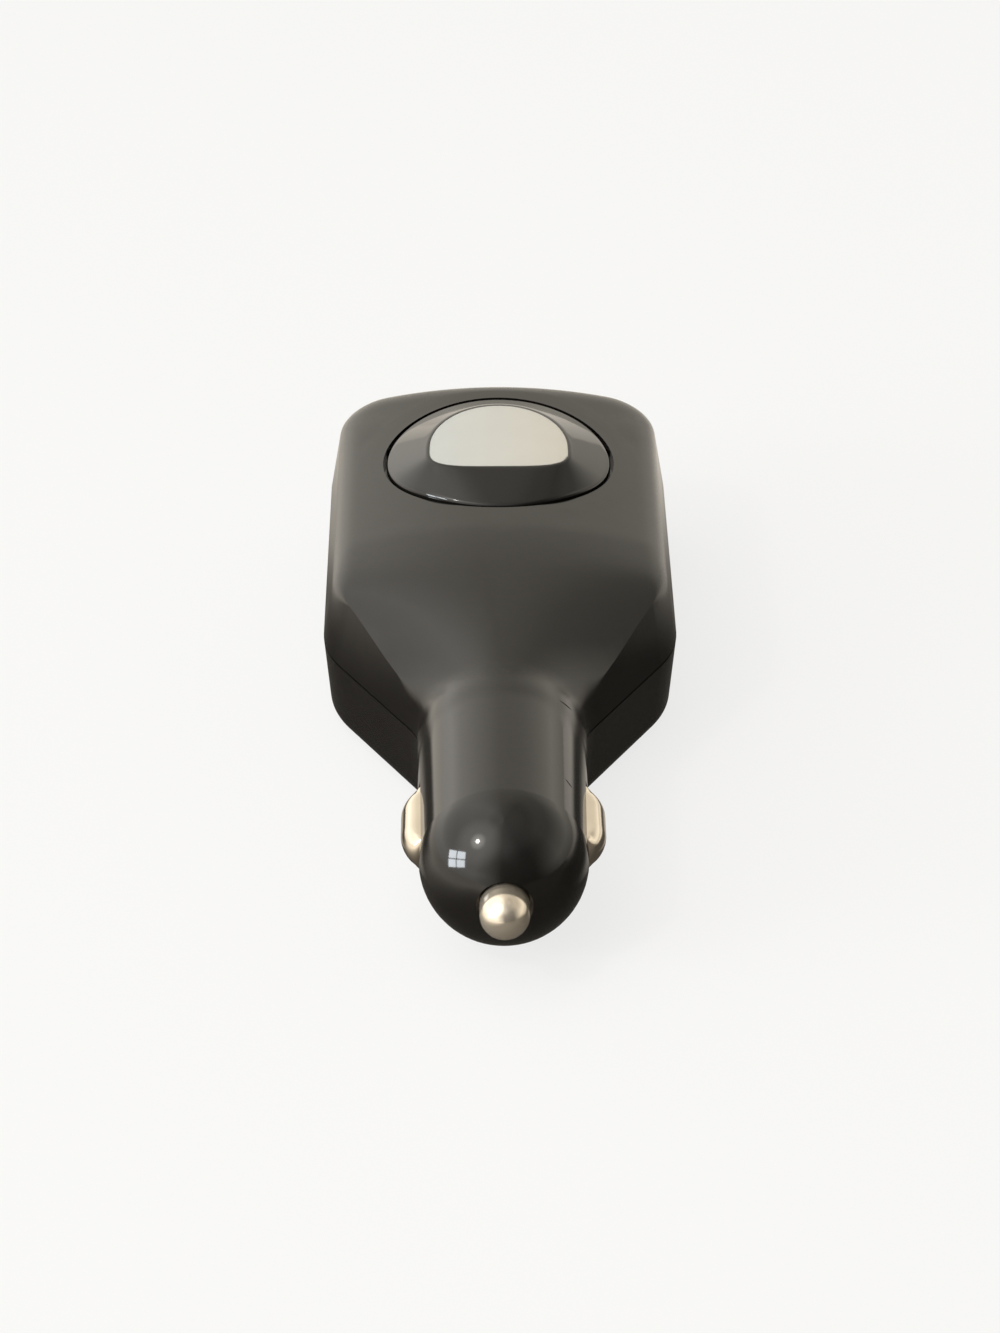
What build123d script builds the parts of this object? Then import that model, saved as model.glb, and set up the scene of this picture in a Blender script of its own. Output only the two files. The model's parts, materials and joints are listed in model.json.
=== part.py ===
"""Car usb charger plug: a flat two-part head on a lighter-socket barrel.

The plug points to -Y, the head lies on its flat base at Z = 0, and X is across.
"""

from build123d import *
from math import asin, cos, pi, radians, sin, sqrt, tan
import os

os.makedirs("parts", exist_ok=True)

# Plug barrel and nose
nose_radius = 10.35
barrel_radius = 10.65
wall = 1.8

# Head: reaches are counted back from the centre of the nose dome, heights from the plug axis
head_width = 46.6
head_reach = 102.5
shoulder_reach = 27.5
shoulder_angle = 31.0
shoulder_round = 16.0
neck_round = 12.0
rear_corner = 8.5
ridge_height = 13.3
base_depth = 11.0
crown_radius = 68.0
upper_draft = 9.5
lower_draft = 5.0
top_edge_round = 2.8
base_edge_round = 2.5
seam_depth = 0.3
seam_height = 0.25

# Slopes from the head to the barrel
neck_reach = 18.0
neck_tuck = 0.5
arch_flare = 0.1875
top_fold_reach = 55.0
top_fold_softness = 9.0
crown_fold_reach = 51.8
base_fold_reach = 30.0
base_fold_softness = 4.0
slope_lift = 0.06
slope_rows = 40
skin_margin = 0.6
arch_columns = 5
skin_tolerance = 0.004
flare_reach = 22.1
flare_length = 2.7
flare_radius = 30.0

# Bezel and window in the top
bezel_reach = 79.7
bezel_radius = 15.25
bezel_groove = 0.45
bezel_rise = 2.5
bezel_foot = 1.3
bezel_peg_radius = 1.0
bezel_peg_circle = 13.2
bezel_peg_count = 3
window_half_width = 9.3
window_back = 12.1
window_front = 5.2
window_forward = 3.6
window_rim = 0.4
window_squareness = 4.0
light_hole_radius = 7.0
lens_thickness = 1.4
lens_lip = 1.0
lens_lip_thickness = 0.8

# Centre pin and fuse
pin_radius = 3.05
pin_reach = 14.55
pin_travel = 3.0
pin_seat_depth = 7.4
pin_flange_radius = 4.2
pin_flange_thickness = 1.5
pin_stem_radius = 2.3
pin_stem_length = 1.4
pin_hole_gap = 0.4
fuse_radius = 2.6
fuse_length = 20.0
fuse_cap_length = 5.5
fuse_cap_wall = 0.3
fuse_glass_wall = 0.5
fuse_wire_radius = 0.2
fuse_tube_gap = 0.3
fuse_tube_wall = 0.7
spring_wire_radius = 0.35
spring_turns = 5
spring_length = 9.0
terminal_radius = 4.2
terminal_thickness = 0.8
terminal_tab_width = 1.6
terminal_tab_length = 3.0

# Side contacts
contact_stand = 1.9
contact_front = 1.0
contact_length = 12.6
contact_height = 4.4
contact_sheet = 0.6
contact_ramp_run = 2.6
contact_ramp_rise = 1.7
contact_front_round = 2.4
contact_corner = 4.0
contact_edge_round = 1.0
contact_lug = 1.5
contact_lug_depth = 0.8
slot_gap = 0.3
leaf_thickness = 0.3
leaf_width = 2.4
leaf_foot = 2.6
leaf_bend = 0.9
clip_length = 3.0
clip_thickness = 0.4

# Circuit board and what stands on it
board_thickness = 1.6
board_length = 48.0
board_width = 38.0
board_corner = 4.0
board_gap = 1.2
board_notch_gap = 0.4
inductor_radius = 6.0
inductor_height = 7.5
inductor_flange = 1.2
inductor_hub_radius = 2.6
inductor_winding_radius = 5.2
capacitor_radius = 4.0
input_capacitor_height = 10.0
output_capacitor_height = 9.0
chip_length = 5.0
chip_width = 4.0
chip_height = 1.5
diode_length = 4.6
diode_width = 2.6
diode_height = 2.2
small_part_length = 2.0
small_part_width = 1.2
small_part_height = 0.7
small_part_pitch = 3.0
small_part_count = 4
lamp_radius = 2.5
lamp_flange_radius = 2.9
lamp_flange_height = 1.0
lamp_height = 7.0
lamp_lead_radius = 0.25
lamp_lead_pitch = 2.54
lamp_gap = 0.6
wire_radius = 0.7
wire_spread = 6.0
wire_bend = 2.0
wire_drop = 6.3

# Usb sockets
usb_width = 13.2
usb_height = 5.8
usb_depth = 14.5
usb_sheet = 0.35
usb_pitch = 18.0
usb_setback = 0.8
usb_opening_gap = 0.25
usb_mouth_round = 0.6
tongue_width = 11.1
tongue_thickness = 1.84
tongue_length = 9.0
tongue_offset = 0.9
usb_block_depth = 4.0
usb_contact_count = 4
usb_contact_pitch = 2.4
usb_contact_width = 1.0
usb_contact_thickness = 0.25

# Screws, bosses, posts and ribs
screw_radius = 1.25
screw_head_radius = 2.2
screw_head_height = 1.4
screw_seat = 3.5
screw_reach = 12.0
screw_slot_width = 0.6
screw_slot_depth = 0.7
screw_clearance = 0.15
boss_radius = 2.7
front_boss_spread = 13.2
front_boss_reach = 41.5
rear_boss_spread = 18.7
rear_boss_reach = 91.0
post_radius = 1.8
post_spread = 14.0
rib_thickness = 1.6
rear_rib_reach = 22.0
fit_gap = 0.1

# Places that follow from the sizes above
overall_length = pin_reach + head_reach
dome_y = pin_reach - overall_length / 2
axis_z = base_depth
rear_y = dome_y + head_reach
top_z = axis_z + ridge_height
neck_y = dome_y + neck_reach
shoulder_y = dome_y + shoulder_reach
top_fold_y = dome_y + top_fold_reach
crown_fold_y = dome_y + crown_fold_reach
base_fold_y = dome_y + base_fold_reach
flare_y = dome_y + flare_reach
flare_rise = flare_radius - sqrt(flare_radius**2 - flare_length**2)
neck_half = barrel_radius - neck_tuck
inner_radius = nose_radius - wall
shoulder_turn = radians(shoulder_angle)
corner_y = shoulder_y + (head_width / 2 - neck_half) / tan(shoulder_turn)
parting = Plane.XY.offset(axis_z)

recess_radius = bezel_radius + bezel_groove
recess_sag = recess_radius**2 / (2 * crown_radius)
bezel_y = dome_y + bezel_reach
recess_z = top_z - recess_sag - bezel_foot
pad_z = recess_z - wall

pin_tip_y = dome_y - pin_reach
pin_seat_y = dome_y - pin_seat_depth
pin_flange_y = pin_seat_y + fit_gap
pin_stem_y = pin_flange_y + pin_flange_thickness
fuse_y = pin_stem_y + pin_stem_length
fuse_rear_y = fuse_y + fuse_length
terminal_y = fuse_rear_y + spring_length
tube_inner_radius = fuse_radius + fuse_tube_gap
tube_outer_radius = tube_inner_radius + fuse_tube_wall
tube_y = pin_stem_y + pin_travel + slot_gap
tube_rear_y = terminal_y - fit_gap
front_rib_y = tube_y + fit_gap
rear_rib_y = dome_y + rear_rib_reach
back_rib_y = terminal_y + terminal_thickness + fit_gap

contact_front_y = dome_y + contact_front
contact_rear_y = contact_front_y + contact_length
contact_out_x = barrel_radius + contact_stand
lug_face_x = sqrt(inner_radius**2 - (contact_height / 2) ** 2) - slot_gap
clip_y = contact_rear_y + contact_lug + slot_gap

board_top_z = axis_z - usb_height / 2
board_z = board_top_z - board_thickness
board_rear_y = rear_y - wall - board_gap
board_front_y = board_rear_y - board_length
usb_mouth_y = rear_y - usb_setback
usb_back_y = usb_mouth_y - usb_depth
lamp_top_z = pad_z - lamp_gap
lamp_base_z = lamp_top_z - lamp_height

tab_end_y = back_rib_y - fit_gap + terminal_tab_length
wire_run = board_front_y - tab_end_y
wire_end_y = board_front_y + 2 * wire_bend
wire_turns = [(0, tab_end_y + wire_run / 3), (wire_spread, board_front_y - wire_run / 3)]

screw_places = [
    (side * spread, dome_y + reach)
    for spread, reach in ((front_boss_spread, front_boss_reach), (rear_boss_spread, rear_boss_reach))
    for side in (-1, 1)
]
post_places = [
    (side * post_spread, y)
    for side in (-1, 1)
    for y in (board_front_y + 2 * post_radius, usb_back_y - 2 * post_radius)
]


def across(y):
    """Section plane at y, drawn with X to the right and Z up, facing the nose."""
    return Plane((0, y, axis_z), x_dir=(1, 0, 0), z_dir=(0, -1, 0))


def half_width(y):
    """Half width of the head at the parting plane, before its corners are rounded."""
    spread = neck_half + (y - shoulder_y) * tan(shoulder_turn)
    return min(max(spread, neck_half), head_width / 2)


def head_plan(inset):
    """Plan outline of the head on the parting plane, moved inwards by inset."""
    half = head_width / 2 - inset
    neck = neck_half - inset
    shift = inset * tan(shoulder_turn / 2)
    corners = [
        (neck, neck_y),
        (neck, shoulder_y + shift),
        (half, corner_y + shift),
        (half, rear_y - inset),
    ]
    radii = [0, neck_round + inset, shoulder_round - inset, rear_corner - inset]
    left = [(-x, y) for x, y in reversed(corners)]
    with BuildSketch(parting) as plan:
        with BuildLine():
            FilletPolyline(corners + left, radius=radii + radii[::-1], close=True)
        make_face()
    return plan.sketch


def soft_ramp(y, fold_y, softness):
    """Distance ahead of a fold, growing from nothing through a soft bend."""
    ahead = fold_y - y
    if ahead >= softness:
        return ahead
    return max(ahead + softness, 0) ** 2 / (4 * softness)


def slope_row(y, height, fold_y, softness, round_y, curve_fold_y, flat_curvature, inset):
    """Points of a slope's section at y: an arch whose curvature grows towards the barrel."""
    fall = soft_ramp(y, fold_y, softness) / soft_ramp(neck_y, fold_y, softness)
    rise = height - (height - neck_half) * fall - inset
    near = max((curve_fold_y - y) / (curve_fold_y - round_y), 0)
    curvature = flat_curvature + (1 / neck_half - flat_curvature) * near**2
    curvature = curvature / (1 - curvature * inset)
    flare = arch_flare * (curvature**3 - flat_curvature**3)
    reach = neck_half + skin_margin + (y - neck_y) * (head_width / 2 - neck_half) / (corner_y - neck_y)
    points = []
    for column in range(-arch_columns, arch_columns + 1):
        x = reach * column / arch_columns
        points.append((x, rise - curvature * x**2 / 2 - flare * x**4))
    return points


def slope_body(side, height, fold_y, softness, round_y, curve_fold_y, flat_curvature, inset):
    """Solid inside the slope that leads the top (side 1) or base (side -1) into the barrel."""
    rows = []
    for step in range(slope_rows + 1):
        y = neck_y + (rear_y + wall - neck_y) * step / slope_rows
        arch = slope_row(y, height, fold_y, softness, round_y, curve_fold_y, flat_curvature, inset)
        rows.append([(x, y, axis_z + side * z) for x, z in arch])
    skin = Face.make_surface_from_array_of_points(rows, tol=skin_tolerance)
    with BuildPart() as body:
        extrude(skin, amount=2 * head_width, dir=(0, 0, -side))
    return body.part


def crown_body(inset):
    """Solid under the crowned top, along the whole head."""
    half = head_width / 2 + wall
    sag = half**2 / (2 * (crown_radius - inset))
    ridge = ridge_height - inset
    edge = ridge - sag
    with BuildPart() as body:
        with BuildSketch(across(rear_y + wall)):
            with BuildLine():
                Bezier((-half, edge), (0, ridge + sag), (half, edge))
                Polyline((half, edge), (half, -wall), (-half, -wall), (-half, edge))
            make_face()
        extrude(amount=rear_y - neck_y + 2 * wall)
    return body.part


def top_half(inset):
    """Upper half of the head: drafted walls under the crown, falling to the barrel."""
    crown = crown_body(inset)
    slope = slope_body(
        1,
        ridge_height + slope_lift,
        top_fold_y,
        top_fold_softness,
        shoulder_y,
        crown_fold_y,
        1 / crown_radius,
        inset,
    )
    with BuildPart() as half:
        extrude(head_plan(inset), amount=ridge_height + wall, taper=upper_draft)
        add(crown, mode=Mode.INTERSECT)
        if inset < top_edge_round:
            fillet(half.faces().sort_by(Axis.Z)[-1].edges(), top_edge_round - inset)
        add(slope, mode=Mode.INTERSECT)
    return half.part


def base_half(inset):
    """Lower half of the head: drafted walls down to the flat base, rising to the barrel."""
    slope = slope_body(
        -1,
        base_depth + slope_lift,
        base_fold_y,
        base_fold_softness,
        neck_y,
        base_fold_y,
        0,
        inset,
    )
    with BuildPart() as half:
        extrude(head_plan(inset), amount=inset - base_depth, taper=lower_draft)
        if inset < base_edge_round:
            fillet(half.faces().sort_by(Axis.Z)[0].edges(), base_edge_round - inset)
        add(slope, mode=Mode.INTERSECT)
    return half.part


def barrel_half(side, inset):
    """Upper (side 1) or lower (side -1) half of the barrel with its domed nose."""
    front = nose_radius - inset
    back = barrel_radius - inset
    flared = back + flare_rise
    flare_end_y = flare_y + flare_length
    back_y = shoulder_y + wall
    with BuildPart() as barrel:
        with BuildSketch(parting):
            with BuildLine():
                Line((front, dome_y), (back, flare_y))
                RadiusArc((back, flare_y), (flared, flare_end_y), -flare_radius)
                Polyline((flared, flare_end_y), (flared, back_y), (0, back_y), (0, dome_y - front))
                RadiusArc((0, dome_y - front), (front, dome_y), -front)
            make_face()
        revolve(axis=Axis((0, 0, axis_z), (0, -side, 0)), revolution_arc=180)
    return barrel.part


def barrel_hollow(side):
    """Inside of one barrel half, with a flat seat for the pin behind the nose."""
    with BuildPart() as hollow:
        add(barrel_half(side, wall))
        split(bisect_by=Plane((0, pin_seat_y, 0), z_dir=(0, 1, 0)), keep=Keep.TOP)
    return hollow.part


def barrel_ribs(side):
    """Half rings in the barrel that hold the fuse tube and the rear terminal."""
    tube_bore = tube_outer_radius + fit_gap
    tab_bore = terminal_radius - rib_thickness
    ribs = [
        (front_rib_y, rib_thickness, tube_bore),
        (rear_rib_y, terminal_y - fit_gap - rear_rib_y, tube_bore),
        (terminal_y - fit_gap, terminal_thickness + 2 * fit_gap, terminal_radius + fit_gap),
        (back_rib_y, rib_thickness, tab_bore),
    ]
    with BuildPart() as rings:
        for y, thickness, bore in ribs:
            with BuildSketch(across(y + thickness)):
                Circle(nose_radius - wall / 2)
                Circle(bore, mode=Mode.SUBTRACT)
            extrude(amount=thickness)
        with BuildSketch(across(back_rib_y + rib_thickness)):
            with Locations((0, -wire_drop)):
                Circle(wire_radius + fit_gap)
        extrude(amount=back_rib_y + rib_thickness - rear_rib_y, mode=Mode.SUBTRACT)
        split(bisect_by=parting, keep=Keep.TOP if side > 0 else Keep.BOTTOM)
    return rings.part


def screw_bosses(form):
    """Round bosses at the screws, kept inside the outer form of one half."""
    with BuildPart() as bosses:
        with BuildSketch(Plane.XY):
            with Locations(*screw_places):
                Circle(boss_radius)
        extrude(amount=top_z)
        add(form, mode=Mode.INTERSECT)
    return bosses.part


def shared_openings():
    """Cuts that both halves share: contact slots, the pin's hole and the usb mouths."""
    slot_height = contact_height + 2 * slot_gap
    slot_length = contact_length + 2 * slot_gap
    with BuildPart() as cuts:
        with BuildSketch(Plane.XY.offset(axis_z - slot_height / 2)):
            with Locations((0, contact_front_y - slot_gap + slot_length / 2)):
                Rectangle(2 * contact_out_x, slot_length)
                Rectangle(2 * lug_face_x, slot_length, mode=Mode.SUBTRACT)
        extrude(amount=slot_height)
        with BuildSketch(across(pin_seat_y)):
            Circle(pin_radius + pin_hole_gap)
        extrude(amount=nose_radius)
        with BuildSketch(across(rear_y + wall)):
            with GridLocations(usb_pitch, 0, 2, 1):
                RectangleRounded(
                    usb_width + 2 * usb_opening_gap, usb_height + 2 * usb_opening_gap, usb_mouth_round
                )
        extrude(amount=3 * wall)
    return cuts.part


outer_top = top_half(0)
outer_base = base_half(0)
openings = shared_openings()

# Upper housing: crowned shell with the round recess for the bezel
top_bosses = screw_bosses(outer_top)
with BuildPart() as bezel_pad:
    with BuildSketch(Plane.XY.offset(pad_z)):
        with Locations((0, bezel_y)):
            Circle(recess_radius + wall)
    extrude(amount=top_z - pad_z)
    add(outer_top, mode=Mode.INTERSECT)

with BuildPart() as upper_housing:
    add(outer_top)
    add(barrel_half(1, 0))
    add(top_half(wall), mode=Mode.SUBTRACT)
    add(barrel_hollow(1), mode=Mode.SUBTRACT)
    add(barrel_ribs(1))
    add(top_bosses)
    add(bezel_pad.part)
    add(openings, mode=Mode.SUBTRACT)
    with BuildSketch(Plane.XY.offset(recess_z)):
        with Locations((0, bezel_y)):
            Circle(recess_radius)
    extrude(amount=top_z - recess_z, mode=Mode.SUBTRACT)
    with BuildSketch(Plane.XY.offset(pad_z)):
        with Locations((0, bezel_y)):
            Circle(light_hole_radius)
            with PolarLocations(bezel_peg_circle, bezel_peg_count, start_angle=90):
                Circle(bezel_peg_radius + fit_gap)
    extrude(amount=wall, mode=Mode.SUBTRACT)
    with BuildSketch(parting):
        with Locations(*screw_places):
            Circle(screw_radius + fit_gap)
    extrude(amount=screw_seat + screw_reach + wall - axis_z, mode=Mode.SUBTRACT)
upper_housing.part.label = "upper_housing"
export_step(upper_housing.part, "parts/upper_housing.step")

# Lower housing: flat-based shell with screw bosses and posts for the board
base_bosses = screw_bosses(outer_base)
barrel_strip = Pos(0, shoulder_y, axis_z) * Rectangle(2 * (barrel_radius + flare_rise), 2 * neck_reach)
seam_line = head_plan(0) - head_plan(seam_depth) - barrel_strip
with BuildPart() as lower_housing:
    add(outer_base)
    add(barrel_half(-1, 0))
    add(base_half(wall), mode=Mode.SUBTRACT)
    add(barrel_hollow(-1), mode=Mode.SUBTRACT)
    add(barrel_ribs(-1))
    add(base_bosses)
    with BuildSketch(Plane.XY.offset(wall)):
        with Locations(*post_places):
            Circle(post_radius)
    extrude(amount=board_z - wall)
    add(openings, mode=Mode.SUBTRACT)
    extrude(seam_line, amount=-seam_height, mode=Mode.SUBTRACT)
    with BuildSketch(Plane.XY):
        with Locations(*screw_places):
            Circle(screw_radius + screw_clearance)
    extrude(amount=axis_z, mode=Mode.SUBTRACT)
    with BuildSketch(Plane.XY):
        with Locations(*screw_places):
            Circle(screw_head_radius + screw_clearance)
    extrude(amount=screw_seat, mode=Mode.SUBTRACT)
lower_housing.part.label = "lower_housing"
export_step(lower_housing.part, "parts/lower_housing.step")

# Screws, driven up from the base
with BuildPart() as housing_screws:
    with BuildSketch(Plane.XY.offset(screw_seat - screw_head_height)):
        with Locations(*screw_places):
            Circle(screw_head_radius)
    extrude(amount=screw_head_height)
    with BuildSketch(Plane.XY.offset(screw_seat)):
        with Locations(*screw_places):
            Circle(screw_radius)
    extrude(amount=screw_reach)
    with BuildSketch(Plane.XY.offset(screw_seat - screw_head_height)):
        with Locations(*screw_places):
            Rectangle(1.4 * screw_head_radius, screw_slot_width)
            Rectangle(screw_slot_width, 1.4 * screw_head_radius)
    extrude(amount=screw_slot_depth, mode=Mode.SUBTRACT)
housing_screws.part.label = "housing_screws"
export_step(housing_screws.part, "parts/housing_screws.step")


def window_outline(half, back, front, squareness, centre_y):
    """Closed outline: half an ellipse behind centre_y, a squarer half ahead of it."""
    power = 2 / squareness
    steps = 12
    near = [(-half, centre_y)]
    for step in range(1, steps):
        turn = pi * step / steps
        lean = -1 if cos(turn) > 0 else 1
        near.append((lean * half * abs(cos(turn)) ** power, centre_y - front * sin(turn) ** power))
    near.append((half, centre_y))
    with BuildLine() as outline:
        EllipticalCenterArc((0, centre_y), half, back, start_angle=0, arc_size=180)
        Spline(*near, tangents=[(0, -1), (0, 1)])
    return outline.line


def window_sketch(z, grow):
    """The window's D shape at height z, grown outwards all round."""
    with BuildSketch(Plane.XY.offset(z)) as window:
        with BuildLine():
            add(
                window_outline(
                    window_half_width + grow,
                    window_back + grow,
                    window_front + grow,
                    window_squareness,
                    bezel_y - window_forward,
                )
            )
        make_face()
    return window.sketch


def bent_path(points, radius):
    """Path through the points with every corner rounded to the radius."""
    spots = [Vector(*point) for point in points]
    with BuildLine() as path:
        start = spots[0]
        for before, corner, after in zip(spots, spots[1:], spots[2:]):
            into = (corner - before).normalized()
            out = (after - corner).normalized()
            half_turn = radians(into.get_angle(out) / 2)
            run = radius * tan(half_turn)
            middle = corner + (out - into).normalized() * (radius / cos(half_turn) - radius)
            Line(start, corner - into * run)
            ThreePointArc(corner - into * run, middle, corner + out * run)
            start = corner + out * run
        Line(start, spots[-1])
    return path.line


def wire_along(points):
    """Round wire swept along a bent path."""
    with BuildPart() as wire:
        path = bent_path(points, wire_bend)
        with BuildSketch(Plane(path @ 0, z_dir=path % 0)):
            Circle(wire_radius)
        sweep(path=path)
    return wire.part


def ring(y, length, outer, inner):
    """Tube section on the plug axis."""
    with BuildPart() as tube:
        with BuildSketch(across(y + length)):
            Circle(outer)
            if inner > 0:
                Circle(inner, mode=Mode.SUBTRACT)
        extrude(amount=length)
    return tube.part


# Bezel: round foot in the recess, rising to the D-shaped window
rim_z = recess_z + bezel_foot
bezel_top_z = top_z + bezel_rise
rim_share = recess_sag / (recess_sag + bezel_rise)
window_near = window_forward + window_front + window_rim
window_far = window_back - window_forward + window_rim
ledge_z = bezel_top_z - lens_thickness
with BuildPart() as bezel_hill:
    with BuildSketch(Plane.XY.offset(rim_z)):
        with BuildLine():
            add(
                window_outline(
                    bezel_radius,
                    (bezel_radius - window_far * rim_share) / (1 - rim_share),
                    (bezel_radius - window_near * rim_share) / (1 - rim_share),
                    2,
                    bezel_y,
                )
            )
        make_face()
    add(window_sketch(bezel_top_z, window_rim))
    loft(ruled=True)

with BuildPart() as bezel:
    with BuildSketch(Plane.XY.offset(rim_z)):
        with Locations((0, bezel_y)):
            Circle(bezel_radius)
    extrude(amount=bezel_top_z - rim_z)
    add(bezel_hill.part, mode=Mode.INTERSECT)
    with BuildSketch(Plane.XY.offset(recess_z)):
        with Locations((0, bezel_y)):
            Circle(bezel_radius)
    extrude(amount=bezel_foot)
    extrude(window_sketch(recess_z, lens_lip + fit_gap), amount=ledge_z - recess_z, mode=Mode.SUBTRACT)
    extrude(window_sketch(ledge_z, fit_gap / 2), amount=lens_thickness, mode=Mode.SUBTRACT)
    with BuildSketch(Plane.XY.offset(recess_z)):
        with Locations((0, bezel_y)):
            with PolarLocations(bezel_peg_circle, bezel_peg_count, start_angle=90):
                Circle(bezel_peg_radius)
    extrude(amount=-wall)
bezel.part.label = "bezel"
export_step(bezel.part, "parts/bezel.step")

# Lens: pale plate in the window, with a lip under the bezel's ledge
with BuildPart() as indicator_lens:
    extrude(window_sketch(ledge_z - lens_lip_thickness, lens_lip), amount=lens_lip_thickness)
    extrude(window_sketch(ledge_z, 0), amount=lens_thickness)
indicator_lens.part.label = "indicator_lens"
export_step(indicator_lens.part, "parts/indicator_lens.step")

# Centre pin: ball end, collar behind the nose, stem onto the fuse
with BuildPart() as centre_pin:
    with BuildSketch(parting):
        with BuildLine():
            RadiusArc((0, pin_tip_y), (pin_radius, pin_tip_y + pin_radius), -pin_radius)
            Polyline(
                (pin_radius, pin_tip_y + pin_radius),
                (pin_radius, pin_flange_y),
                (pin_flange_radius, pin_flange_y),
                (pin_flange_radius, pin_stem_y),
                (pin_stem_radius, pin_stem_y),
                (pin_stem_radius, fuse_y),
                (0, fuse_y),
                (0, pin_tip_y),
            )
        make_face()
    revolve(axis=Axis((0, 0, axis_z), (0, 1, 0)))
centre_pin.part.label = "centre_pin"
export_step(centre_pin.part, "parts/centre_pin.step")

# Fuse: glass tube, a cap on each end, the element along its axis
glass_radius = fuse_radius - fuse_cap_wall
glass_bore = glass_radius - fuse_glass_wall
glass_length = fuse_length - 2 * fuse_cap_wall
with BuildPart() as fuse_glass:
    add(ring(fuse_y + fuse_cap_wall, glass_length, glass_radius, glass_bore))
fuse_glass.part.label = "fuse_glass"
export_step(fuse_glass.part, "parts/fuse_glass.step")

with BuildPart() as fuse_caps:
    add(ring(fuse_y, fuse_cap_length, fuse_radius, 0))
    add(ring(fuse_rear_y - fuse_cap_length, fuse_cap_length, fuse_radius, 0))
    add(ring(fuse_y + fuse_cap_wall, glass_length, glass_radius, 0), mode=Mode.SUBTRACT)
fuse_caps.part.label = "fuse_caps"
export_step(fuse_caps.part, "parts/fuse_caps.step")

with BuildPart() as fuse_element:
    add(ring(fuse_y + fuse_cap_wall, glass_length, fuse_wire_radius, 0))
fuse_element.part.label = "fuse_element"
export_step(fuse_element.part, "parts/fuse_element.step")

# Tube that guides the fuse, spring behind the fuse, terminal behind the spring
with BuildPart() as fuse_tube:
    add(ring(tube_y, tube_rear_y - tube_y, tube_outer_radius, tube_inner_radius))
fuse_tube.part.label = "fuse_tube"
export_step(fuse_tube.part, "parts/fuse_tube.step")

coil_radius = fuse_radius - spring_wire_radius
coil_height = spring_length - 2 * spring_wire_radius
with BuildPart() as pin_spring:
    with BuildLine() as coil:
        Helix(
            coil_height / spring_turns,
            coil_height,
            coil_radius,
            center=(0, fuse_rear_y + spring_wire_radius, axis_z),
            direction=(0, 1, 0),
        )
    with BuildSketch(Plane(coil.line @ 0, z_dir=coil.line % 0)):
        Circle(spring_wire_radius)
    sweep(path=coil.line, is_frenet=True)
pin_spring.part.label = "pin_spring"
export_step(pin_spring.part, "parts/pin_spring.step")

with BuildPart() as rear_terminal:
    add(ring(terminal_y, terminal_thickness, terminal_radius, 0))
    with BuildSketch(across(tab_end_y)):
        Rectangle(terminal_tab_width, terminal_thickness)
    extrude(amount=terminal_tab_length)
rear_terminal.part.label = "rear_terminal"
export_step(rear_terminal.part, "parts/rear_terminal.step")

# Side contacts: folded wings held behind the barrel wall by lugs
wing = [
    (lug_face_x, contact_front_y),
    (contact_out_x, contact_front_y),
    (contact_out_x, contact_rear_y - contact_ramp_run),
    (contact_out_x - contact_ramp_rise, contact_rear_y),
    (lug_face_x, contact_rear_y),
]
wing_rounds = [0, contact_front_round, contact_corner, contact_edge_round, 0]
lug_plan = Plane.XY.offset(axis_z - contact_height / 2)
pocket_plan = lug_plan.offset(contact_sheet)
contact_mid_y = contact_front_y + contact_length / 2
with BuildPart() as side_contact_right:
    with BuildSketch(lug_plan) as wing_plan:
        with BuildLine():
            FilletPolyline(*wing, radius=wing_rounds, close=True)
        make_face()
    extrude(amount=contact_height)
    outer_faces = side_contact_right.faces().group_by(Axis.Z)
    fillet(
        [
            edge
            for edge in outer_faces[0].edges() + outer_faces[-1].edges()
            if edge.center().X > lug_face_x + contact_edge_round
        ],
        contact_edge_round,
    )
    with BuildSketch(lug_plan):
        with Locations((lug_face_x - contact_lug_depth / 2, contact_mid_y)):
            Rectangle(contact_lug_depth, contact_length + 2 * contact_lug)
    extrude(amount=contact_height)
    with BuildSketch(pocket_plan):
        offset(wing_plan.sketch, amount=-contact_sheet)
        with Locations((lug_face_x, contact_mid_y)):
            Rectangle(2 * contact_lug_depth + 2 * contact_sheet, contact_length - 2 * contact_sheet)
    extrude(amount=contact_height - 2 * contact_sheet, mode=Mode.SUBTRACT)
side_contact_right.part.label = "side_contact_right"
export_step(side_contact_right.part, "parts/side_contact_right.step")

with BuildPart() as side_contact_left:
    mirror(side_contact_right.part, about=Plane.YZ)
side_contact_left.part.label = "side_contact_left"
export_step(side_contact_left.part, "parts/side_contact_left.step")

# Leaf spring behind each side contact, bowed from the fuse tube to the wing
leaf_low_x = tube_outer_radius + leaf_thickness / 2
leaf_high_x = contact_out_x - contact_sheet - leaf_thickness / 2
leaf_front_y = front_rib_y + rib_thickness + slot_gap
leaf_span = clip_y - leaf_front_y
leaf_bow = [
    (leaf_low_x, leaf_front_y, axis_z),
    (leaf_low_x, leaf_front_y + leaf_foot, axis_z),
    (leaf_high_x, leaf_front_y + leaf_span / 2 - leaf_foot / 2, axis_z),
    (leaf_high_x, leaf_front_y + leaf_span / 2 + leaf_foot / 2, axis_z),
    (leaf_low_x, clip_y - leaf_foot, axis_z),
    (leaf_low_x, clip_y, axis_z),
]
with BuildPart() as contact_spring_right:
    bow = bent_path(leaf_bow, leaf_bend)
    with BuildSketch(across(leaf_front_y)):
        with Locations((leaf_low_x, 0)):
            Rectangle(leaf_thickness, leaf_width)
    sweep(path=bow)
contact_spring_right.part.label = "contact_spring_right"
export_step(contact_spring_right.part, "parts/contact_spring_right.step")

with BuildPart() as contact_spring_left:
    mirror(contact_spring_right.part, about=Plane.YZ)
contact_spring_left.part.label = "contact_spring_left"
export_step(contact_spring_left.part, "parts/contact_spring_left.step")

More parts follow.
